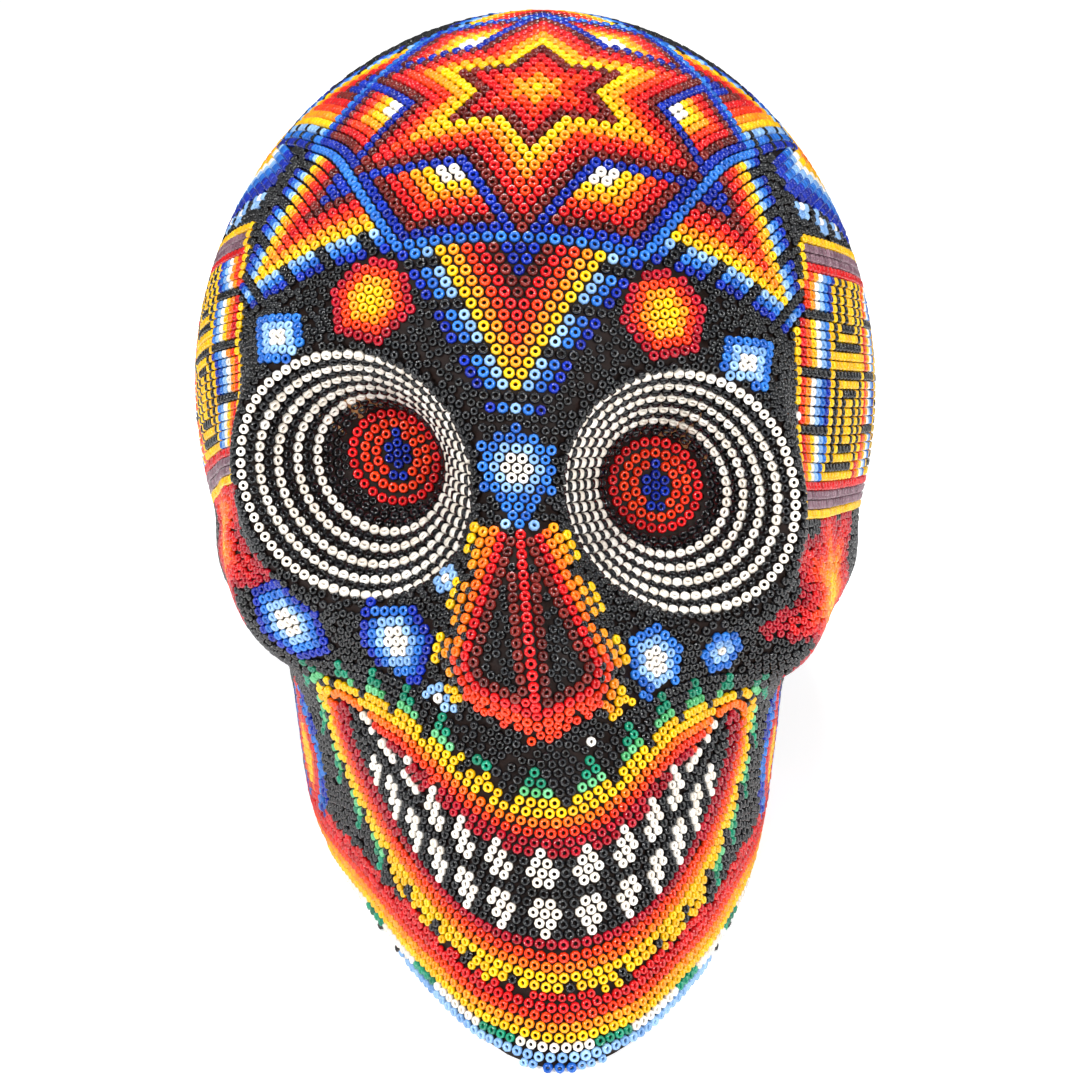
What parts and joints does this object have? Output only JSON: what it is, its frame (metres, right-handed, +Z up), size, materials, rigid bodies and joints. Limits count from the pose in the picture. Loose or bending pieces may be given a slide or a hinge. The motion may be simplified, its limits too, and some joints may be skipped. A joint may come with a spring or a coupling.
{
  "type": "beaded skull figure",
  "caption": "Life-size skull figure that stands on its jaw, leaned back, its wax coat covered all over with glass seed beads in stars, flowers and bands.",
  "frame": {"origin": "under the middle of the figure, on the plane it stands on", "axes": "+Z up, -Y the way the face looks, +X to the right of someone facing it"},
  "size_m": [0.1514, 0.2346, 0.1624],
  "materials": {
    "carved_wood": "matt, sanded",
    "beeswax": "soft sheen",
    "black_glass_beads": "glossy",
    "white_glass_beads": "glossy",
    "white_and_black_glass_beads": "glossy",
    "red_glass_beads": "glossy",
    "orange_glass_beads": "glossy",
    "yellow_glass_beads": "glossy",
    "blue_glass_beads": "glossy"
  },
  "bodies": {
    "root": {"brow_flower": "blue_glass_beads", "chin_beads": "orange_glass_beads", "crown_ray_1": "orange_glass_beads", "crown_ray_2": "orange_glass_beads", "crown_ray_3": "orange_glass_beads", "crown_ray_4": "orange_glass_beads", "crown_ray_5": "orange_glass_beads", "crown_ray_6": "orange_glass_beads", "crown_rhombus_1": "orange_glass_beads", "crown_rhombus_2": "orange_glass_beads", "crown_rhombus_3": "orange_glass_beads", "crown_rhombus_4": "orange_glass_beads", "crown_rhombus_5": "orange_glass_beads", "crown_rhombus_6": "orange_glass_beads", "crown_star": "red_glass_beads", "left_cheek_flame": "orange_glass_beads", "left_cheek_flower_inner": "blue_glass_beads", "left_cheek_flower_outer": "blue_glass_beads", "left_cheek_ground": "black_glass_beads", "left_crown_ground": "black_glass_beads", "left_forehead_flower": "orange_glass_beads", "left_forehead_ground": "black_glass_beads", "left_parietal_sun": "blue_glass_beads", "left_pupil_beads": "red_glass_beads", "left_socket_rings": "white_and_black_glass_beads", "left_temple_panel": "yellow_glass_beads", "lip_beads": "yellow_glass_beads", "nape_star": "blue_glass_beads", "nose_beads": "red_glass_beads", "right_cheek_flame": "orange_glass_beads", "right_cheek_flower_inner": "blue_glass_beads", "right_cheek_flower_outer": "blue_glass_beads", "right_cheek_ground": "black_glass_beads", "right_crown_ground": "black_glass_beads", "right_forehead_flower": "orange_glass_beads", "right_forehead_ground": "black_glass_beads", "right_parietal_sun": "blue_glass_beads", "right_pupil_beads": "red_glass_beads", "right_socket_rings": "white_and_black_glass_beads", "right_temple_panel": "yellow_glass_beads", "teeth_beads": "white_glass_beads", "upper_lip_ground": "black_glass_beads", "wax_coat": "beeswax", "wood_core": "carved_wood"}
  },
  "joints": []
}
